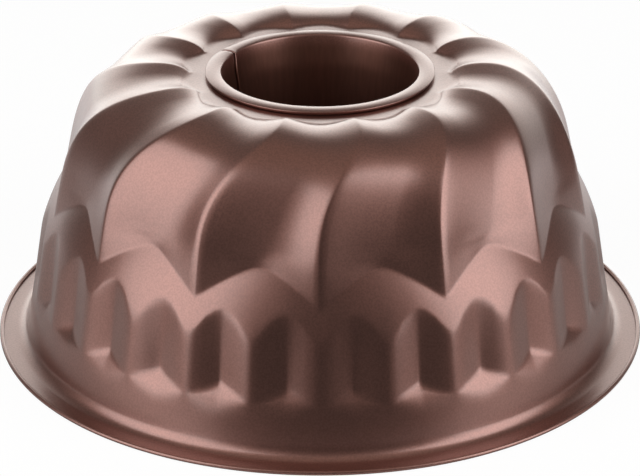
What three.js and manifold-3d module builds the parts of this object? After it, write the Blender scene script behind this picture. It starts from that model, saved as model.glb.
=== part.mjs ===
// A fluted tube pan, stored upside down: the rim lies on the table at z = 0 and the closed end is up.
// Millimetres, +Z up along the pan's axis. Angles run round the axis from the front, which is -Y, towards +X.
import * as THREE from "three";
import { mergeVertices } from "three/addons/utils/BufferGeometryUtils.js";
import Module from "manifold-3d";

// Whole pan
const RIM_DIAMETER = 250;
const HEIGHT = 106.4; // table to the crests of the flutes
const SHEET = 0.6;
const FLUTES = 14;
const NICHES_PER_FLUTE = 2;
const CLEARANCE = 0.3; // between the neck and the tube that is crimped over it

// Rim and flange
const FLANGE_WIDTH = 10.8; // from the line of the wall to the rim
const FLANGE_FILLET = 5;
const ROLL_DIAMETER = 1.7;
const ROLL_TURN = 265; // degrees that the edge is rolled up and inwards

// Plain wall and niches, heights above the table
const WALL_LEAN = 0.167; // inwards for each millimetre up
const SILL_FOOT = 18.3; // where the sloping sills of the niches leave the wall
const NICHE_SIDE_FOOT = 20.3;
const NICHE_CREASE_FOOT = 23.8;
const NICHE_SIDE_TOP = 42;
const NICHE_CREASE_TOP = 51;
const NICHE_DEPTH = 2.9;

// Band between the niches and the flutes
const BAND_LEAN = 0.14; // inwards for each millimetre up, beyond the wall's own lean
const BAND_BEND = 0.008; // how fast that lean grows

// Flutes
const RIDGE_FOOT = 53.8;
const HOLLOW_FOOT = 65.4;
const RIDGE_LEAN = 0.18; // inwards for each millimetre up, at the foot
const RIDGE_BOW = 0.0017; // how fast that lean grows
const HOLLOW_DEPTH = 4.5;
const HOLLOW_SOFTNESS = 0.6; // 0 gives a sharp V between two ridges, 1 a round trough
const SWIRL_FOOT = 68; // height where the ridges start to lean sideways
const SWIRL_GROWTH = 1.37; // a higher growth keeps the lean nearer the top
const VALLEY_SHIFT = 0.12; // how far hollows are drawn towards the next ridge, as a share of the pitch
const VALLEY_GROWTH = 0.7; // a lower growth puts most of that draw lower down

// Shoulder and crown
const SHOULDER_RISE = 34.4; // height that the shoulder's curve takes up
const SHOULDER_WALL_PULL = 20; // how far the curve keeps the wall's direction
const SHOULDER_CREST_PULL = 20; // how far it keeps level at the crest
const CREST_DIAMETER = 124;
const CREST_HOLLOW_DROP = 1.9; // hollows lie this much lower than ridges at the crest
const CREST_HOLLOW_SETBACK = 0.5; // and turn over this much further out
const CROWN_FLATNESS = 0.75; // share of the way to the land that the crest's direction stays level
const LAND_DROP = 4.2; // crests to the land under the bead
const LAND_RISE = 0.4; // the land is a shallow dish that rises outwards
const LAND_RIDGE_DIAMETER = 98.6; // where the ridges run out on the land
const LAND_HOLLOW_DIAMETER = 105.6; // where the hollows do

// Tube and the bead that clasps the shell's neck
const MOUTH_DIAMETER = 74.6;
const THROAT_DIAMETER = 70.8;
const THROAT_DEPTH = 10; // below the land
const TUBE_END_DIAMETER = 54;
const TUBE_END_GAP = 4; // table to the tube's free end
const BEAD_WIDTH = 6.1;
const BEAD_HEIGHT = 1.7;
const BEAD_LIFT = 0.25; // shadow gap between the bead and the land
const BEAD_TURN = 150; // degrees that the bead's outer edge turns down and under
const NECK_BEND = 0.6;
const SEAM_GAP = 0.7;
const SEAM_ANGLE = -118;

// Fineness of the curves, in flat stretches
const FILLET_STEPS = 3;
const ROLL_STEPS = 8;
const WALL_STEPS = 2;
const SHOULDER_STEPS = 7;
const CROWN_STEPS = 2;
const BEAD_INNER_STEPS = 2;
const BEAD_OUTER_STEPS = 4;
const columnsPerFlute = 2 * NICHES_PER_FLUTE;
const columns = FLUTES * columnsPerFlute;

const lerp = THREE.MathUtils.lerp;
const radians = THREE.MathUtils.degToRad;

// Surfaces that the shell's outside follows, as radius at a height
const rimRadius = RIM_DIAMETER / 2;
const wallFootRadius = rimRadius - FLANGE_WIDTH;
const wallRadius = (z) => wallFootRadius - WALL_LEAN * z;

function bandRadius(z) {
  const rise = Math.max(0, z - NICHE_SIDE_TOP);
  return wallRadius(z) - BAND_LEAN * rise - BAND_BEND * rise ** 2;
}

function ridgeRadius(z) {
  const rise = z - RIDGE_FOOT;
  return bandRadius(RIDGE_FOOT) - RIDGE_LEAN * rise - RIDGE_BOW * rise ** 2;
}

// Shoulder and crown curves of a ridge, or of the hollow between two ridges
const shoulderFoot = HEIGHT - SHOULDER_RISE;
const shoulderLean = RIDGE_LEAN + 2 * RIDGE_BOW * (shoulderFoot - RIDGE_FOOT);
const landTop = HEIGHT - LAND_DROP;

function shoulderCurve(depth, drop, setback) {
  const foot = new THREE.Vector2(ridgeRadius(shoulderFoot) - depth, shoulderFoot);
  const crest = new THREE.Vector2(CREST_DIAMETER / 2 + setback, HEIGHT - drop);
  const wallPull = new THREE.Vector2(-shoulderLean, 1).multiplyScalar(SHOULDER_WALL_PULL).add(foot);
  const crestPull = new THREE.Vector2(SHOULDER_CREST_PULL, 0).add(crest);
  return new THREE.CubicBezierCurve(foot, wallPull, crestPull, crest);
}

function crownCurve(crest, landRadius) {
  const level = new THREE.Vector2(lerp(crest.x, landRadius, CROWN_FLATNESS), crest.y);
  return new THREE.QuadraticBezierCurve(crest, level, new THREE.Vector2(landRadius, landTop + LAND_RISE));
}

const ridgeShoulder = shoulderCurve(0, 0, 0);
const hollowShoulder = shoulderCurve(HOLLOW_DEPTH, CREST_HOLLOW_DROP, CREST_HOLLOW_SETBACK);
const ridgeCrown = crownCurve(ridgeShoulder.v3, LAND_RIDGE_DIAMETER / 2);
const hollowCrown = crownCurve(hollowShoulder.v3, LAND_HOLLOW_DIAMETER / 2);

// Sideways lean of the ridges: none up the wall, half a pitch by the crest. A point's share of the way up
// the lean is 0 on the wall and 1 from the crest on
const swirl = Math.PI / FLUTES;
const shoulderLength = ridgeShoulder.getLength();
const wallLength = shoulderFoot - SWIRL_FOOT;
const leanLength = wallLength + shoulderLength;
const wallShare = (z) => Math.max(0, z - SWIRL_FOOT) / leanLength;
const shoulderShare = (along) => (wallLength + along * shoulderLength) / leanLength;

// Angle that the lean turns a point by: hollows are drawn further round, towards the next ridge
function leanTurn(upShare, hollow) {
  const lean = Math.sin((Math.PI / 2) * upShare ** SWIRL_GROWTH) ** 2;
  const draw = 2 * VALLEY_SHIFT * hollow * Math.sin(Math.PI * upShare ** VALLEY_GROWTH);
  return swirl * (lean + draw);
}

// One point of an outline: radius, height and its share of the way up the lean
const outlinePoint = (r, z, upShare = 0) => ({ r, z, upShare });

function arc(centreR, centreZ, radius, from, to, steps) {
  return Array.from({ length: steps + 1 }, (_, i) => {
    const angle = lerp(from, to, i / steps);
    return outlinePoint(centreR + radius * Math.cos(angle), centreZ + radius * Math.sin(angle));
  });
}

// Points of a ridge's and a hollow's curve, mixed for a column between the two
function mixedCurve(ridge, hollow, share, steps, upShareAt) {
  return Array.from({ length: steps }, (_, i) => {
    const along = (i + 1) / steps;
    const place = ridge.getPointAt(along).lerp(hollow.getPointAt(along), share);
    return outlinePoint(place.x, place.y, upShareAt(along));
  });
}

// The sheet's other side: every stretch of an outline moved square to itself by the sheet's thickness,
// to the right of the way that the outline runs
function otherSide(outline) {
  const sideways = outline.slice(1).map((to, i) => {
    const from = outline[i];
    return new THREE.Vector2(to.z - from.z, from.r - to.r).normalize();
  });
  return outline.map(({ r, z, upShare }, i) => {
    const before = sideways[Math.max(0, i - 1)];
    const after = sideways[Math.min(sideways.length - 1, i)];
    const mitre = SHEET / (1 + before.dot(after));
    return outlinePoint(r + mitre * (before.x + after.x), z + mitre * (before.y + after.y), upShare);
  });
}

// Neck round the hole, hidden inside the tube's bead: it ends where the bead turns over
const beadCorner = BEAD_HEIGHT / 2;
const beadMiddle = landTop + BEAD_LIFT + beadCorner;
const beadOuterRadius = MOUTH_DIAMETER / 2 + BEAD_WIDTH;
const neckInnerRadius = MOUTH_DIAMETER / 2 + SHEET + CLEARANCE;
const neckOuterRadius = neckInnerRadius + SHEET;

function neckOutline() {
  return [
    outlinePoint(neckOuterRadius, beadMiddle, 1),
    outlinePoint(neckOuterRadius, landTop + NECK_BEND, 1),
    outlinePoint(neckOuterRadius + NECK_BEND, landTop, 1),
    outlinePoint(beadOuterRadius, landTop, 1),
  ];
}

// Flutes from the land out over the shoulder and down to the shoulder's foot
function crownOutline(share) {
  const crown = mixedCurve(ridgeCrown, hollowCrown, share, CROWN_STEPS, () => 1).reverse();
  const shoulder = mixedCurve(ridgeShoulder, hollowShoulder, share, SHOULDER_STEPS, shoulderShare).reverse();
  return [...crown, ...shoulder];
}

// Flutes down the wall to the zigzag where they run out on the band
function fluteOutline(hollow, share) {
  const foot = lerp(RIDGE_FOOT, HOLLOW_FOOT, hollow);
  const footDepth = ridgeRadius(foot) - bandRadius(foot);
  return Array.from({ length: WALL_STEPS + 1 }, (_, i) => {
    const down = i / WALL_STEPS;
    const z = lerp(shoulderFoot, foot, down);
    const depth = lerp(HOLLOW_DEPTH * share, footDepth, down);
    return outlinePoint(ridgeRadius(z) - depth, z, wallShare(z));
  });
}

// Niche with its folded back and sloping sill: fold is 0 at its sides and 1 at its crease
function nicheOutline(fold) {
  const top = lerp(NICHE_SIDE_TOP, NICHE_CREASE_TOP, fold);
  const foot = lerp(NICHE_SIDE_FOOT, NICHE_CREASE_FOOT, fold);
  return [
    outlinePoint(bandRadius(top), top),
    outlinePoint(wallRadius(foot) - NICHE_DEPTH * fold, foot),
    outlinePoint(wallRadius(SILL_FOOT), SILL_FOOT),
  ];
}

// Hollow fillet from the wall to the flange
function filletOutline() {
  const lean = Math.atan(WALL_LEAN);
  const centreZ = SHEET + FLANGE_FILLET;
  const centreR = wallRadius(centreZ) + FLANGE_FILLET / Math.cos(lean);
  return arc(centreR, centreZ, FLANGE_FILLET, Math.PI + lean, 1.5 * Math.PI, FILLET_STEPS);
}

// Rolled edge: the sheet's upper side ends up inside the roll
function rollOutline() {
  const radius = ROLL_DIAMETER / 2;
  const start = -Math.PI / 2;
  const end = start + radians(ROLL_TURN);
  return arc(rimRadius - radius, radius, radius - SHEET, start, end, ROLL_STEPS);
}

// Where a column lies: its place in a flute from ridge to ridge, and 0 on a ridge to 1 in mid-hollow
const placeOf = (column) => (column % columnsPerFlute) / columnsPerFlute;
const hollowOf = (column) => 1 - Math.abs(1 - 2 * placeOf(column));

// Outline of the shell's outside in one column, from the neck to the edge of the roll
function shellOutline(column) {
  const hollow = hollowOf(column);
  const share = hollow + HOLLOW_SOFTNESS * hollow * (1 - hollow);
  const nichePlace = (placeOf(column) * NICHES_PER_FLUTE) % 1;
  const fold = 1 - Math.abs(1 - 2 * nichePlace);
  return [
    ...neckOutline(),
    ...crownOutline(share),
    ...fluteOutline(hollow, share),
    ...nicheOutline(fold),
    ...filletOutline(),
    ...rollOutline(),
  ];
}

// Closed section of the sheet, up its outside and down its inside
function sheetSection(outline) {
  const section = [...outline].reverse().concat(otherSide(outline));
  return [...section, section[0]];
}

const profile = (section) => section.map(({ r, z }) => new THREE.Vector2(r, z));

// The shell is turned as a plain ring, then each column is pressed to its own section
function shellGeometry() {
  const geometry = new THREE.LatheGeometry(profile(sheetSection(shellOutline(0))), columns);
  const position = geometry.attributes.position;
  for (let column = 0; column <= columns; column++) {
    const section = sheetSection(shellOutline(column));
    const hollow = hollowOf(column);
    section.forEach(({ r, z, upShare }, i) => {
      const angle = ((column % columns) / columns) * 2 * Math.PI + leanTurn(upShare, hollow);
      position.setXYZ(column * section.length + i, r * Math.sin(angle), -r * Math.cos(angle), z);
    });
  }
  geometry.computeVertexNormals();
  return geometry;
}

// Tube outline, from its free end up the bore and over the bead
function tubeOutline() {
  const mouthRadius = MOUTH_DIAMETER / 2;
  const innerCornerR = mouthRadius + beadCorner;
  const outerCornerR = beadOuterRadius - beadCorner;
  const quarter = Math.PI / 2;
  return [
    outlinePoint(TUBE_END_DIAMETER / 2, TUBE_END_GAP),
    outlinePoint(THROAT_DIAMETER / 2, landTop - THROAT_DEPTH),
    ...arc(innerCornerR, beadMiddle, beadCorner, Math.PI, quarter, BEAD_INNER_STEPS),
    ...arc(outerCornerR, beadMiddle, beadCorner, quarter, quarter - radians(BEAD_TURN), BEAD_OUTER_STEPS),
  ];
}

// manifold-3d solids for the one cut
const wasm = await Module();
wasm.setup();

function solidOf(geometry) {
  const bare = geometry.clone();
  bare.deleteAttribute("normal");
  bare.deleteAttribute("uv");
  const merged = mergeVertices(bare, 1e-3);
  const vertProperties = new Float32Array(merged.attributes.position.array);
  const triVerts = new Uint32Array(merged.index.array);
  return new wasm.Manifold(new wasm.Mesh({ numProp: 3, vertProperties, triVerts }));
}

function geometryOf(solid) {
  const { vertProperties, triVerts } = solid.getMesh();
  const geometry = new THREE.BufferGeometry();
  geometry.setAttribute("position", new THREE.BufferAttribute(vertProperties, 3));
  geometry.setIndex(new THREE.BufferAttribute(triVerts, 1));
  geometry.computeVertexNormals();
  return geometry;
}

// The tube is a rolled strip whose two edges meet at an open seam
function tubeGeometry() {
  const outline = tubeOutline();
  const section = [...otherSide(outline), ...[...outline].reverse()];
  const ring = new THREE.LatheGeometry(profile([...section, section[0]]), columns);
  ring.rotateX(Math.PI / 2);
  const reach = MOUTH_DIAMETER / 2 + 2 * BEAD_WIDTH;
  const seam = new THREE.BoxGeometry(SEAM_GAP, reach, 2 * HEIGHT);
  seam.translate(0, -reach / 2, HEIGHT / 2);
  seam.rotateZ(radians(SEAM_ANGLE));
  return geometryOf(solidOf(ring).subtract(solidOf(seam)));
}

const coating = { color: 0x8a5c50, roughness: 0.42, metalness: 0.75 };

function piece(name, geometry) {
  const mesh = new THREE.Mesh(geometry, new THREE.MeshStandardMaterial(coating));
  mesh.name = name;
  return mesh;
}

const pan = new THREE.Group();
pan.name = "fluted_tube_pan";
pan.add(piece("fluted_shell", shellGeometry()), piece("centre_tube", tubeGeometry()));

export default pan;
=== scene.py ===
"""Looks of the fluted tube pan, which lies rim down: its pressed shell, crimped tube and coating."""
import math

import bmesh
import bpy
from mathutils import Matrix, Vector


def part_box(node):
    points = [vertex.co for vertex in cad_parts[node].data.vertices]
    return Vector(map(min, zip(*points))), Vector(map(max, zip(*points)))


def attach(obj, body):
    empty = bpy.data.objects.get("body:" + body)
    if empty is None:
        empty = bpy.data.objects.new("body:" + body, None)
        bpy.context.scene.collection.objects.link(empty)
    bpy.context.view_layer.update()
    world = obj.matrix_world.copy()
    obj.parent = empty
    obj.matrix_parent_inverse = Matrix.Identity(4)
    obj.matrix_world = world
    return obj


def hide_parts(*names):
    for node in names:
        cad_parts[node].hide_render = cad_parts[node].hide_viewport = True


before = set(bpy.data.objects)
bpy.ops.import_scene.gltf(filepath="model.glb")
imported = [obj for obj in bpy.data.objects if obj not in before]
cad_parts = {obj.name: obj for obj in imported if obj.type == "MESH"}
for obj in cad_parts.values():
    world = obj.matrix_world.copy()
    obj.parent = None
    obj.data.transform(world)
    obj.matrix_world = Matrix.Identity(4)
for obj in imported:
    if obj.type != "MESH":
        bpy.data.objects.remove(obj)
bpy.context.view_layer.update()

MM = 0.001
QUARTER_TURN = math.pi / 2

# Whole pan
SHELL_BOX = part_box("fluted_shell")
RIM_RADIUS = SHELL_BOX[1].x
HEIGHT = SHELL_BOX[1].z
SHEET = 0.6 * MM
FLUTES = 14
NICHES_PER_FLUTE = 2
CLEARANCE = 0.3 * MM  # between the neck and the tube that is crimped over it

# Rim and flange
FLANGE_WIDTH = 10.8 * MM  # from the line of the wall to the rim
FLANGE_FILLET = 5 * MM
ROLL_RADIUS = 0.85 * MM
ROLL_TURN = math.radians(265)

# Plain wall and niches, heights above the table
WALL_LEAN = 0.167  # inwards for each metre up
SILL_FOOT = 18.3 * MM  # where the sloping sills of the niches leave the wall
NICHE_SIDE_FOOT = 20.3 * MM
NICHE_CREASE_FOOT = 23.8 * MM
NICHE_SIDE_TOP = 42 * MM
NICHE_CREASE_TOP = 51 * MM
NICHE_DEPTH = 2.9 * MM
NICHE_ARCH = 0.9
NICHE_SIDE_ROUNDNESS = 0.3  # a roundness is the share of a wave's height that its turn takes up
NICHE_CREASE_ROUNDNESS = 0.08

# Band between the niches and the flutes
BAND_LEAN = 0.14  # inwards for each metre up, beyond the wall's own lean
BAND_BEND = 0.008 / MM  # how fast that lean grows

# Flutes
RIDGE_FOOT = 53.8 * MM
HOLLOW_FOOT = 65.4 * MM
RIDGE_LEAN = 0.18  # inwards for each metre up, at the foot
RIDGE_BOW = 0.0017 / MM  # how fast that lean grows
HOLLOW_DEPTH = 4.5 * MM
RIDGE_ROUNDNESS = 0.06
FOOT_ROUNDNESS = 0.2
FOOT_ARCH = 0.35
WALL_ROUNDNESS = 0.8
CREST_ROUNDNESS = 0.5
SWIRL_FOOT = 68 * MM  # height where the ridges start to lean sideways
SWIRL_GROWTH = 1.37  # a higher growth keeps the lean nearer the top
VALLEY_SHIFT = 0.12  # how far hollows are drawn towards the next ridge, as a share of the pitch
VALLEY_GROWTH = 0.7  # a lower growth puts most of that draw lower down

# Shoulder and crown
SHOULDER_RISE = 34.4 * MM  # height that the shoulder's curve takes up
SHOULDER_WALL_PULL = 20 * MM  # how far the curve keeps the wall's direction
SHOULDER_CREST_PULL = 20 * MM  # how far it keeps level at the crest
CREST_RADIUS = 62 * MM
CREST_HOLLOW_DROP = 1.9 * MM
CREST_HOLLOW_SETBACK = 0.5 * MM
CROWN_FLATNESS = 0.75
LAND_DROP = 4.2 * MM  # crests to the land under the bead
LAND_RISE = 0.4 * MM
LAND_RIDGE_RADIUS = 49.3 * MM
LAND_HOLLOW_RADIUS = 52.8 * MM

# Tube and the bead that clasps the shell's neck
MOUTH_RADIUS = 37.3 * MM
THROAT_RADIUS = 35.4 * MM
THROAT_DEPTH = 10 * MM  # below the land
TUBE_END_RADIUS = 27 * MM
TUBE_END_GAP = 4 * MM  # table to the tube's free end
BEAD_WIDTH = 6.1 * MM
BEAD_HEIGHT = 1.7 * MM
BEAD_LIFT = 0.25 * MM  # shadow gap between the bead and the land
BEAD_BULGE = 0.35 * MM
BEAD_INNER_DROP = 0.35 * MM
BEAD_OUTER_DROP = 0.45 * MM
BEAD_UNDERCUT = 0.8 * MM
NECK_BEND = 0.6 * MM

# Seam of the tube: open at the bead, and lapped down the bore
SEAM_ANGLE = math.radians(-118)
SEAM_GAP = 0.7 * MM
SEAM_BEND = 0.5 * MM
SEAM_BEND_WIDTH = 3 * MM
LAP_WIDTH = 0.8 * MM
LAP_BEND = 0.9 * MM
LAP_RUN_IN = 4 * MM

# Rounding of an outline's corners
CREASE_ROUNDING = 2 * MM
NICHE_TOP_ROUNDING = 4 * MM
SILL_ROUNDING = 5 * MM
BEAD_INNER_ROUNDING = 0.7 * MM
BEAD_OUTER_ROUNDING = 0.6 * MM
CORNER_REACH = 0.45  # most of a stretch that the rounding of one of its ends may take up

# Fineness: columns round the pan, and steps along an outline
COLUMNS_PER_FLUTE = 24
COLUMNS = FLUTES * COLUMNS_PER_FLUTE
EDGE_CROWDING = 0.7
NECK_STEPS = 3
LAND_STEPS = 6
CROWN_STEPS = 10
SHOULDER_STEPS = 32
FLUTE_STEPS = 7
BAND_STEPS = 5
NICHE_STEPS = 6
SILL_STEPS = 3
WALL_STEPS = 5
FILLET_STEPS = 8
FLANGE_STEPS = 3
ROLL_STEPS = 20
CORNER_STEPS = 4
BORE_STEPS = 8
THROAT_STEPS = 5
BEAD_EDGE_STEPS = 6
BEAD_TOP_STEPS = 8
HEM_STEPS = 3

# Camera, fitted to the circles of the rim and the bead
CAMERA_PLACE = Vector((0, -0.8999, 0.4504))
CAMERA_PITCH = math.radians(24.84)
IMAGE_WIDTH = 640
FOCAL_PIXELS = 2558
SENSOR_WIDTH = 36

# Heights and radii that follow
SHOULDER_FOOT = HEIGHT - SHOULDER_RISE
SHOULDER_LEAN = RIDGE_LEAN + 2 * RIDGE_BOW * (SHOULDER_FOOT - RIDGE_FOOT)
LAND_TOP = HEIGHT - LAND_DROP
BEAD_MIDDLE = LAND_TOP + BEAD_LIFT + BEAD_HEIGHT / 2
BEAD_TOP = BEAD_MIDDLE + BEAD_HEIGHT / 2
BEAD_RADIUS = MOUTH_RADIUS + BEAD_WIDTH
NECK_RADIUS = MOUTH_RADIUS + CLEARANCE + 2 * SHEET
SWIRL = math.pi / FLUTES


def lerp(start, end, share):
    """A number or vector the given share of the way from start to end."""
    return start + (end - start) * share


def polar(radius, angle, height):
    """Point at an angle round the pan's axis, counted from the front towards the right."""
    return Vector((radius * math.sin(angle), -radius * math.cos(angle), height))


# Outlines are points of radius and height
def arc(centre, radius, start, end, steps):
    """Points of an arc, both ends included."""
    angles = [lerp(start, end, step / steps) for step in range(steps + 1)]
    return [centre + radius * Vector((math.cos(angle), math.sin(angle))) for angle in angles]


def bezier(points, steps):
    """Points of the Bezier curve with these control points, both ends included."""
    curve = []
    for step in range(steps + 1):
        level = list(points)
        while len(level) > 1:
            level = [lerp(a, b, step / steps) for a, b in zip(level, level[1:])]
        curve.append(level[0])
    return curve


def inner_steps(start, end, steps):
    """Points that cut a straight stretch into equal steps, without its ends."""
    return [lerp(start, end, step / steps) for step in range(1, steps)]


def linked(runs, steps):
    """Runs of points, joined by straight stretches that are cut into these numbers of steps."""
    outline = list(runs[0])
    for run, count in zip(runs[1:], steps):
        outline += inner_steps(outline[-1], run[0], count) + run
    return outline


def rounded_corner(before, corner, after, rounding=CREASE_ROUNDING, steps=CORNER_STEPS):
    """A corner of an outline, replaced by a curve that starts and ends a little way from it."""
    def toward(end):
        way = end - corner
        reach = min(rounding, CORNER_REACH * way.length)
        return corner + way.normalized() * reach
    return bezier([toward(before), corner, toward(after)], steps)


# Surfaces that the shell's outside follows, as radius at a height
def wall_radius(z):
    return RIM_RADIUS - FLANGE_WIDTH - WALL_LEAN * z


def band_radius(z):
    rise = max(0, z - NICHE_SIDE_TOP)
    return wall_radius(z) - BAND_LEAN * rise - BAND_BEND * rise**2


def ridge_radius(z):
    rise = z - RIDGE_FOOT
    return band_radius(RIDGE_FOOT) - RIDGE_LEAN * rise - RIDGE_BOW * rise**2


# Waves round the pan: a place of 0 and of 1 is on two neighbouring ridges
def soft_wave(place, low, high):
    """Zigzag that is 0 at whole numbers and 1 halfway between. Its lower and upper turns are rounded
    over these shares of its height."""
    height = 1 - abs(1 - 2 * (place % 1))
    wave = height
    if height < low:
        wave = (height**2 / low + low) / 2
    elif height > 1 - high:
        wave = 1 - ((1 - height) ** 2 / high + high) / 2
    return (wave - low / 2) / (1 - low / 2 - high / 2)


def hollow_share(place, roundness):
    """How far the flute lies in its hollow: 0 on the ridge, 1 in the middle of the hollow."""
    return soft_wave(place, RIDGE_ROUNDNESS, roundness)


def niche_fold(place):
    """How far the wall lies in a niche: 0 at the niche's sides, 1 at the crease in its back."""
    return soft_wave(place * NICHES_PER_FLUTE, NICHE_SIDE_ROUNDNESS, NICHE_CREASE_ROUNDNESS)


def arched(share, arch):
    """A share from 0 to 1 that rises steeply at first and then less, as an arch does."""
    return share * (1 + arch * (1 - share))


def flute_foot(place):
    """Height of the scalloped line where a flute runs out on the band."""
    return lerp(RIDGE_FOOT, HOLLOW_FOOT, arched(hollow_share(place, FOOT_ROUNDNESS), FOOT_ARCH))


def crest_point(place):
    """Where a flute turns over at the top."""
    share = hollow_share(place, CREST_ROUNDNESS)
    return Vector((CREST_RADIUS + CREST_HOLLOW_SETBACK * share, HEIGHT - CREST_HOLLOW_DROP * share))


def land_edge(place):
    """Where a flute runs out on the land."""
    radius = lerp(LAND_RIDGE_RADIUS, LAND_HOLLOW_RADIUS, hollow_share(place, CREST_ROUNDNESS))
    return Vector((radius, LAND_TOP + LAND_RISE))


# Stretches of the shell's outline, from the neck outwards and down
def neck_points():
    """The neck inside the bead, and the start of the land under it."""
    bend_centre = Vector((NECK_RADIUS + NECK_BEND, LAND_TOP + NECK_BEND))
    neck = [Vector((NECK_RADIUS, BEAD_MIDDLE))]
    return neck + arc(bend_centre, NECK_BEND, 2 * QUARTER_TURN, 3 * QUARTER_TURN, NECK_STEPS)


def land_points(place):
    """The land, a shallow dish from the neck out to the foot of the crown."""
    start = Vector((NECK_RADIUS + NECK_BEND, LAND_TOP))
    level = Vector((BEAD_RADIUS, LAND_TOP))
    return bezier([start, level, land_edge(place)], LAND_STEPS)[1:]


def crown_points(place):
    """The inner slope of a flute, from the land up to the crest."""
    edge = land_edge(place)
    crest = crest_point(place)
    level = Vector((lerp(crest.x, edge.x, CROWN_FLATNESS), crest.y))
    return bezier([edge, level, crest], CROWN_STEPS)[1:]


def shoulder_points(place):
    """The shoulder of a flute, from the crest down to the wall."""
    depth = HOLLOW_DEPTH * hollow_share(place, WALL_ROUNDNESS)
    foot = Vector((ridge_radius(SHOULDER_FOOT) - depth, SHOULDER_FOOT))
    crest = crest_point(place)
    wall_pull = foot + SHOULDER_WALL_PULL * Vector((-SHOULDER_LEAN, 1))
    crest_pull = crest + Vector((SHOULDER_CREST_PULL, 0))
    return bezier([crest, crest_pull, wall_pull, foot], SHOULDER_STEPS)[1:]


def flute_points(place):
    """The flute down the wall, to the scalloped line where it runs out on the band."""
    foot = flute_foot(place)
    foot_depth = ridge_radius(foot) - band_radius(foot)
    depth = HOLLOW_DEPTH * hollow_share(place, WALL_ROUNDNESS)
    points = []
    for step in range(1, FLUTE_STEPS + 1):
        down = step / FLUTE_STEPS
        z = lerp(SHOULDER_FOOT, foot, down)
        points.append(Vector((ridge_radius(z) - lerp(depth, foot_depth, down), z)))
    return points


def band_points(place):
    """The band from the flute's foot down to the top of a niche."""
    foot = flute_foot(place)
    top = lerp(NICHE_SIDE_TOP, NICHE_CREASE_TOP, arched(niche_fold(place), NICHE_ARCH))
    heights = [lerp(foot, top, step / BAND_STEPS) for step in range(1, BAND_STEPS + 1)]
    return [Vector((band_radius(z), z)) for z in heights]


def niche_points(place):
    """The foot of a niche's folded back, and the foot of its sill."""
    fold = niche_fold(place)
    foot = lerp(NICHE_SIDE_FOOT, NICHE_CREASE_FOOT, fold)
    back = Vector((wall_radius(foot) - NICHE_DEPTH * fold, foot))
    return back, Vector((wall_radius(SILL_FOOT), SILL_FOOT))


def fillet_points():
    """The hollow fillet from the wall to the flange."""
    lean = math.atan(WALL_LEAN)
    centre_z = SHEET + FLANGE_FILLET
    centre = Vector((wall_radius(centre_z) + FLANGE_FILLET / math.cos(lean), centre_z))
    return arc(centre, FLANGE_FILLET, 2 * QUARTER_TURN + lean, 3 * QUARTER_TURN, FILLET_STEPS)


def roll_points():
    """The rolled edge, on the side of the sheet that ends up inside the roll."""
    centre = Vector((RIM_RADIUS - ROLL_RADIUS, ROLL_RADIUS))
    return arc(centre, ROLL_RADIUS - SHEET, -QUARTER_TURN, ROLL_TURN - QUARTER_TURN, ROLL_STEPS)


def lower_outline(place):
    """From the foot of the shoulder down the flute, the band and the niche to the edge of the roll."""
    flute = flute_points(place)
    band = band_points(place)
    niche_foot, sill_foot = niche_points(place)
    fillet = fillet_points()
    flute_corner = rounded_corner(flute[-2], flute[-1], band[0])
    top_corner = rounded_corner(band[-2], band[-1], niche_foot, NICHE_TOP_ROUNDING)
    foot_corner = rounded_corner(band[-1], niche_foot, sill_foot)
    sill_corner = rounded_corner(niche_foot, sill_foot, fillet[0], SILL_ROUNDING)
    upper = flute[:-1] + flute_corner + band[:-1] + top_corner
    runs = [upper, foot_corner, sill_corner, fillet, roll_points()]
    return linked(runs, [NICHE_STEPS, SILL_STEPS, WALL_STEPS, FLANGE_STEPS])


def lean_shares():
    """Length of a ridge's sideways lean up to the crest, and the share of it below each point of the
    shoulder."""
    ridge = [crest_point(0)] + shoulder_points(0)
    lengths = [(end - start).length for start, end in zip(ridge, ridge[1:])]
    whole = SHOULDER_FOOT - SWIRL_FOOT + sum(lengths)
    return whole, [1 - sum(lengths[:count]) / whole for count in range(1, SHOULDER_STEPS + 1)]


def lean_turn(place, share):
    """Sideways turn of a flute, this share of the way up its lean: half a pitch by the crest. The middle
    of a hollow is drawn further, towards the next ridge, most where the wall meets the shoulder."""
    hollow = 1 - abs(1 - 2 * place)
    lean = math.sin(QUARTER_TURN * share**SWIRL_GROWTH) ** 2
    draw = 2 * VALLEY_SHIFT * hollow * math.sin(math.pi * share**VALLEY_GROWTH)
    return SWIRL * (lean + draw)


def shell_outline(place):
    """Outline of the shell's outside at one place of a flute, from the neck to the edge of the roll.
    Each point is radius, height and the turn of the lean."""
    whole, shares = lean_shares()
    outline = [(point, 1) for point in neck_points() + land_points(place) + crown_points(place)]
    outline += zip(shoulder_points(place), shares)
    outline += [(point, max(0, point.y - SWIRL_FOOT) / whole) for point in lower_outline(place)]
    return [(*point, lean_turn(place, share)) for point, share in outline]


def crowded(place):
    """Column places drawn towards the ridges, hollows and niche creases, where the sheet bends most."""
    folds = 2 * NICHES_PER_FLUTE * math.tau
    return place - EDGE_CROWDING / folds * math.sin(folds * place)


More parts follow.
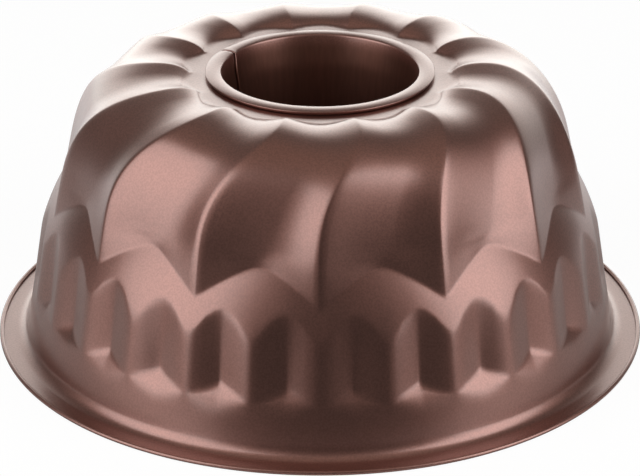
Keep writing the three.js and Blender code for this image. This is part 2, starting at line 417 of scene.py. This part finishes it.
def tube_outline():
    """The side of the tube that shows, from its free end up the bore and over the bead."""
    end = Vector((TUBE_END_RADIUS, TUBE_END_GAP))
    throat = Vector((THROAT_RADIUS, LAND_TOP - THROAT_DEPTH))
    inner = Vector((MOUTH_RADIUS, BEAD_TOP - BEAD_INNER_DROP))
    bulge = Vector((MOUTH_RADIUS + BEAD_WIDTH / 2, BEAD_TOP + BEAD_BULGE))
    outer = Vector((BEAD_RADIUS, BEAD_TOP - BEAD_OUTER_DROP))
    hem = Vector((BEAD_RADIUS - BEAD_UNDERCUT, BEAD_TOP - BEAD_HEIGHT))
    mouth = rounded_corner(throat, inner, bulge, BEAD_INNER_ROUNDING, BEAD_EDGE_STEPS)
    edge = rounded_corner(bulge, outer, hem, BEAD_OUTER_ROUNDING, BEAD_EDGE_STEPS)
    bore = [end] + inner_steps(end, throat, BORE_STEPS) + rounded_corner(end, throat, mouth[0])
    bead = mouth + bezier([mouth[-1], bulge, edge[0]], BEAD_TOP_STEPS)[1:-1] + edge
    return linked([bore, bead, [hem]], [THROAT_STEPS, HEM_STEPS])


# Pieces of the pan
def spun(points, steps, angle, closed):
    """A bmesh of an outline of radii and heights, turned about the pan's axis from the front."""
    mesh = bmesh.new()
    chain = [mesh.verts.new((0, -radius, height)) for radius, height in points]
    edges = [mesh.edges.new(pair) for pair in zip(chain, chain[1:])]
    bmesh.ops.spin(
        mesh,
        geom=chain + edges,
        cent=(0, 0, 0),
        axis=(0, 0, 1),
        angle=angle,
        steps=steps,
        use_merge=closed,
    )
    bmesh.ops.recalc_face_normals(mesh, faces=mesh.faces)
    return mesh


def placed(name, mesh, material):
    """A new object in the scene with this mesh and material."""
    data = bpy.data.meshes.new(name)
    mesh.to_mesh(data)
    mesh.free()
    data.materials.append(material)
    piece = bpy.data.objects.new(name, data)
    bpy.context.scene.collection.objects.link(piece)
    return piece


def finished(name, mesh, material, node):
    """The mesh as a piece of the pan in place of its plain solid, with the sheet's thickness inwards."""
    highest = max(mesh.faces, key=lambda face: face.calc_center_median().z)
    if highest.normal.z < 0:
        bmesh.ops.reverse_faces(mesh, faces=mesh.faces)
    for face in mesh.faces:
        face.smooth = True
    piece = placed(name, mesh, material)
    sheet = piece.modifiers.new("sheet", "SOLIDIFY")
    sheet.thickness = SHEET
    sheet.offset = -1
    sheet.use_even_offset = True
    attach(piece, "root")
    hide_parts(node)


def make_shell(material):
    """The pressed shell: turned as a plain ring, then each column pressed to its own outline."""
    places = [crowded(column / COLUMNS_PER_FLUTE) for column in range(COLUMNS_PER_FLUTE)]
    outlines = [shell_outline(place) for place in places]
    rows = len(outlines[0])
    mesh = spun([(1, -row / rows) for row in range(rows)], COLUMNS, math.tau, True)
    for vert in mesh.verts:
        row = round(-vert.co.z * rows)
        column = round(math.atan2(vert.co.x, -vert.co.y) / math.tau * COLUMNS) % COLUMNS
        flute, step = divmod(column, COLUMNS_PER_FLUTE)
        radius, height, turn = outlines[step][row]
        vert.co = polar(radius, (flute + places[step]) / FLUTES * math.tau + turn, height)
    bmesh.ops.recalc_face_normals(mesh, faces=mesh.faces)
    finished("shell", mesh, material, "fluted_shell")


def make_tube(material):
    """The rolled tube. Its seam is open at the bead, and down the bore one edge laps over the other."""
    gap = SEAM_GAP / MOUTH_RADIUS
    mesh = spun(tube_outline(), COLUMNS, math.tau - gap, False)
    turn = Matrix.Rotation(SEAM_ANGLE + gap / 2, 3, "Z")
    bmesh.ops.rotate(mesh, verts=mesh.verts, cent=(0, 0, 0), matrix=turn)
    for vert in mesh.verts:
        radius = vert.co.xy.length
        past_seam = (math.atan2(vert.co.x, -vert.co.y) - SEAM_ANGLE) % math.tau
        from_edge = (math.tau - gap / 2 - past_seam) * radius
        near = max(0, 1 - from_edge / SEAM_BEND_WIDTH) ** 2
        lapped = min(1, max(0, (LAND_TOP - vert.co.z) / LAP_RUN_IN))
        bend = lerp(SEAM_BEND, LAP_BEND, lapped) * near
        lap = (SEAM_GAP + LAP_WIDTH) * lapped * near
        vert.co = polar(radius - bend, SEAM_ANGLE + past_seam + lap / radius, vert.co.z)
    finished("tube", mesh, material, "centre_tube")


# Sockets of a Mix node that mixes colours
MIX_SHARE = 0
MIX_DARK = 6
MIX_BRIGHT = 7
MIX_RESULT = 2


class Wire:
    """An output of a node. Sums on wires and numbers add Math nodes, and add() makes any other node."""

    def __init__(self, tree, socket=None):
        self.tree = tree
        self.socket = socket

    def add(self, kind, settings, sockets, output=0):
        """A new node: its settings first, then the values or wires of its sockets. Returns a wire from
        one of its outputs."""
        node = self.tree.nodes.new(kind)
        for name, value in settings.items():
            setattr(node, name, value)
        for name, value in sockets.items():
            if isinstance(value, Wire):
                self.tree.links.new(value.socket, node.inputs[name])
            else:
                node.inputs[name].default_value = value
        return Wire(self.tree, node.outputs[output] if node.outputs else None)

    def math(self, operation, *values):
        return self.add("ShaderNodeMath", {"operation": operation}, dict(enumerate(values)))

    def __add__(self, other):
        return self.math("ADD", self, other)

    def __sub__(self, other):
        return self.math("SUBTRACT", self, other)

    def __mul__(self, other):
        return self.math("MULTIPLY", self, other)

    def __rsub__(self, other):
        return self.math("SUBTRACT", other, self)

    __radd__ = __add__
    __rmul__ = __mul__

    def ramp(self, low, high):
        """A smooth rise from 0 where this value is low or less to 1 where it is high or more."""
        sockets = {"Value": self, "From Min": low, "From Max": high}
        return self.add("ShaderNodeMapRange", {"interpolation_type": "SMOOTHSTEP"}, sockets)

    def tint(self, dark, bright):
        """The colour this value of the way from a dark one to a bright one."""
        sockets = {MIX_SHARE: self, MIX_DARK: dark, MIX_BRIGHT: bright}
        return self.add("ShaderNodeMix", {"data_type": "RGBA"}, sockets, MIX_RESULT)

    def parts(self):
        """The three numbers of a vector."""
        node = self.add("ShaderNodeSeparateXYZ", {}, {"Vector": self}).socket.node
        return [Wire(self.tree, socket) for socket in node.outputs]

    def noise(self, size, stretch=(1, 1, 1)):
        """Noise of 0 to 1 at this place. Its features have about this size, stretched along the axes."""
        sizes = [size * long for long in stretch]
        sockets = dict(enumerate([self, sizes]))
        scaled = self.add("ShaderNodeVectorMath", {"operation": "DIVIDE"}, sockets)
        return self.add("ShaderNodeTexNoise", {}, {"Vector": scaled, "Scale": 1.0})

    def blend(self, first, second):
        """The shader this value of the way from one shader to another."""
        return self.add("ShaderNodeMixShader", {}, dict(enumerate([self, first, second])))


def new_material(name):
    """An empty material, and a wire of its place on the piece, in metres."""
    material = bpy.data.materials.new(name)
    material.use_nodes = True
    material.node_tree.nodes.clear()
    place = Wire(material.node_tree).add("ShaderNodeTexCoord", {}, {}, "Object")
    return material, place


def show(place, surface):
    """Makes the shader the surface of its material."""
    place.add("ShaderNodeOutputMaterial", {}, {"Surface": surface})


# Noise keeps mostly to this range, about its middle
NOISE_RANGE = (0.3, 0.7)
NOISE_MIDDLE = 0.5

# Coating: metal flakes in brown varnish
FLAKE_SIZE = 0.7 * MM
MOTTLE_SIZE = 14 * MM
COATING_DARK = (0.285, 0.115, 0.086, 1)
COATING_BRIGHT = (0.365, 0.148, 0.11, 1)
COATING_METALLIC = 0.9
COATING_ROUGHNESS = 0.39
MOTTLE_ROUGHNESS = 0.08
GRAIN_STRENGTH = 0.06
GRAIN_DEPTH = 0.1 * MM
VARNISH = 1.0
VARNISH_IOR = 1.9
VARNISH_ROUGHNESS = 0.27

# Bore of the tube: the same coating with faint streaks along it, its colour darkened as painted shade of
# the deep tube, and dulled by less varnish
BORE_FROM = LAND_TOP + 1.5 * MM
BORE_TO = LAND_TOP - 4 * MM
# The bore's colours are painted shade: darker than the coating's, for the shade deep in the tube
BORE_SHADE_DARK = (0.2, 0.088, 0.062, 1)
BORE_SHADE_LIGHT = (0.23, 0.1, 0.07, 1)
BORE_VARNISH = 0.3
STREAK_SIZE = 1.5 * MM
STREAK_STRETCH = (1, 1, 60)


def flaked(place):
    """Colour of the coating in the open: brown with brighter flakes."""
    return place.noise(FLAKE_SIZE).ramp(*NOISE_RANGE).tint(COATING_DARK, COATING_BRIGHT)


def streaked_painted_shade(place):
    """Colour of the coating in the bore: darkened as painted shade, with streaks along it."""
    return place.noise(STREAK_SIZE, STREAK_STRETCH).ramp(*NOISE_RANGE).tint(BORE_SHADE_DARK, BORE_SHADE_LIGHT)


def coated(place, colour, varnish):
    """Shader of the coating, with the given colour and amount of varnish."""
    flakes = place.noise(FLAKE_SIZE)
    mottle = place.noise(MOTTLE_SIZE)
    grain = place.add(
        "ShaderNodeBump", {}, {"Strength": GRAIN_STRENGTH, "Distance": GRAIN_DEPTH, "Height": flakes}
    )
    return place.add(
        "ShaderNodeBsdfPrincipled",
        {},
        {
            "Base Color": colour,
            "Metallic": COATING_METALLIC,
            "Roughness": COATING_ROUGHNESS + MOTTLE_ROUGHNESS * (mottle - NOISE_MIDDLE),
            "Coat Weight": varnish,
            "Coat IOR": VARNISH_IOR,
            "Coat Roughness": VARNISH_ROUGHNESS,
            "Normal": grain,
        },
    )


def coating_material():
    material, place = new_material("coating")
    show(place, coated(place, flaked(place), VARNISH))
    return material


def tube_material():
    """The coating on the bead, which gives way down the bore to a darker colour that is painted shade.
    """
    material, place = new_material("tube_coating")
    _, _, height = place.parts()
    # bore is the mask of the painted shade: 1 down the bore, 0 on the bead and the land
    bore = 1 - height.ramp(BORE_TO, BORE_FROM)
    colour = bore.tint(flaked(place), streaked_painted_shade(place))
    show(place, coated(place, colour, VARNISH + (BORE_VARNISH - VARNISH) * bore))
    return material


def on_rays(wire, kind):
    """1 on rays of this kind, and else 0."""
    return wire.add("ShaderNodeLightPath", {}, {}, kind)


# Table top
FLOOR_RADIUS = 0.6
FLOOR_SIDES = 128
FLOOR_FRONT = 0.135  # how far it reaches in front of the pan's axis
FLOOR_COLOUR = (0.7, 0.7, 0.7, 1)
FLOOR_WHITENESS = 0.85
FLOOR_LIGHT = 1.1
FLOOR_SWEEP = (0, 0.4)  # how far behind the pan's axis it turns white in the metal


def floor_material():
    """Pale and matt. Seen directly it is white but for the pan's shadow. Its back, behind the pan's
    axis, turns white in the metal too."""
    material, place = new_material("floor")
    matt = place.add("ShaderNodeBsdfDiffuse", {}, {"Color": FLOOR_COLOUR})
    white = place.add("ShaderNodeEmission", {}, {"Strength": FLOOR_LIGHT})
    mirrored = on_rays(place, "Is Glossy Ray") + on_rays(place, "Is Transmission Ray")
    _, back, _ = place.parts()
    seen = FLOOR_WHITENESS * (on_rays(place, "Is Camera Ray") + mirrored * back.ramp(*FLOOR_SWEEP))
    show(place, seen.blend(matt, white))
    material.cycles.emission_sampling = "NONE"
    return material


def make_floor():
    """A round table top that ends just in front of the pan."""
    mesh = bmesh.new()
    bmesh.ops.create_circle(mesh, cap_ends=True, segments=FLOOR_SIDES, radius=FLOOR_RADIUS)
    bmesh.ops.translate(mesh, verts=mesh.verts, vec=(0, FLOOR_RADIUS - FLOOR_FRONT, 0))
    floor = placed("floor", mesh, floor_material())


# Studio: a white backdrop behind, two tall softboxes at the sides, a dim room above and in front
WHITE = (1, 1, 1, 1)
BACKDROP_STRENGTH = 2.2
BACKDROP_COLOUR = (0.93, 1, 0.97, 1)
BACKDROP_EDGE = (0.6, 0.97)
BACKDROP_TOP = (0.33, 0.66)
ROOM_STRENGTH = 0.06
OVERHEAD_STRENGTH = 0.3
OVERHEAD_COLOUR = (1, 0.82, 0.7, 1)
OVERHEAD_EDGE = (0.65, 1)
FRONT_STRENGTH = 0.055
FRONT_EDGE = (0.2, 0.9)
SOFTBOX_DISTANCE = 1.3
SOFTBOX_ELEVATION = math.radians(25)
SOFTBOXES = {  # angles in degrees from the front, sizes in metres
    "left": {"angle": -60, "width": 1.2, "height": 1.6, "watts": 10.6},
    "right": {"angle": 65, "width": 0.9, "height": 1.5, "watts": 8.5},
}


def make_world():
    """White where the camera sees it. All else sees a backdrop in a dim room."""
    world = bpy.data.worlds.new("studio")
    world.use_nodes = True
    world.node_tree.nodes.clear()
    way = Wire(world.node_tree).add("ShaderNodeTexCoord", {}, {}, "Generated")
    _, back, up = way.parts()
    behind = back.ramp(*BACKDROP_EDGE) * (1 - up.ramp(*BACKDROP_TOP))
    front = (0 - back).ramp(*FRONT_EDGE)
    above = up.ramp(*OVERHEAD_EDGE)
    room = ROOM_STRENGTH + (FRONT_STRENGTH - ROOM_STRENGTH) * front
    room = room + (OVERHEAD_STRENGTH - ROOM_STRENGTH) * above
    light = room + BACKDROP_STRENGTH * behind
    camera = on_rays(way, "Is Camera Ray")
    strength = light + camera * (1 - light)
    colour = camera.tint(above.tint(BACKDROP_COLOUR, OVERHEAD_COLOUR), WHITE)
    backdrop = way.add("ShaderNodeBackground", {}, {"Color": colour, "Strength": strength})
    way.add("ShaderNodeOutputWorld", {}, {"Surface": backdrop})
    bpy.context.scene.world = world


def make_softboxes():
    """Two tall softboxes that face the pan from the sides."""
    reach = SOFTBOX_DISTANCE * math.cos(SOFTBOX_ELEVATION)
    height = SOFTBOX_DISTANCE * math.sin(SOFTBOX_ELEVATION)
    for name, box in SOFTBOXES.items():
        data = bpy.data.lights.new("softbox_" + name, "AREA")
        data.shape = "RECTANGLE"
        data.energy = box["watts"]
        data.size = box["width"]
        data.size_y = box["height"]
        lamp = bpy.data.objects.new("softbox_" + name, data)
        lamp.location = polar(reach, math.radians(box["angle"]), height)
        lamp.rotation_euler = lamp.location.to_track_quat("Z", "Y").to_euler()
        bpy.context.scene.collection.objects.link(lamp)


def make_camera():
    data = bpy.data.cameras.new("camera")
    data.sensor_width = SENSOR_WIDTH
    data.lens = FOCAL_PIXELS / IMAGE_WIDTH * SENSOR_WIDTH
    camera = bpy.data.objects.new("camera", data)
    camera.location = CAMERA_PLACE
    camera.rotation_euler = (QUARTER_TURN - CAMERA_PITCH, 0, 0)
    bpy.context.scene.collection.objects.link(camera)
    bpy.context.scene.camera = camera


make_shell(coating_material())
make_tube(tube_material())
make_floor()
make_camera()
make_world()
make_softboxes()
bpy.context.scene.view_settings.view_transform = "Standard"
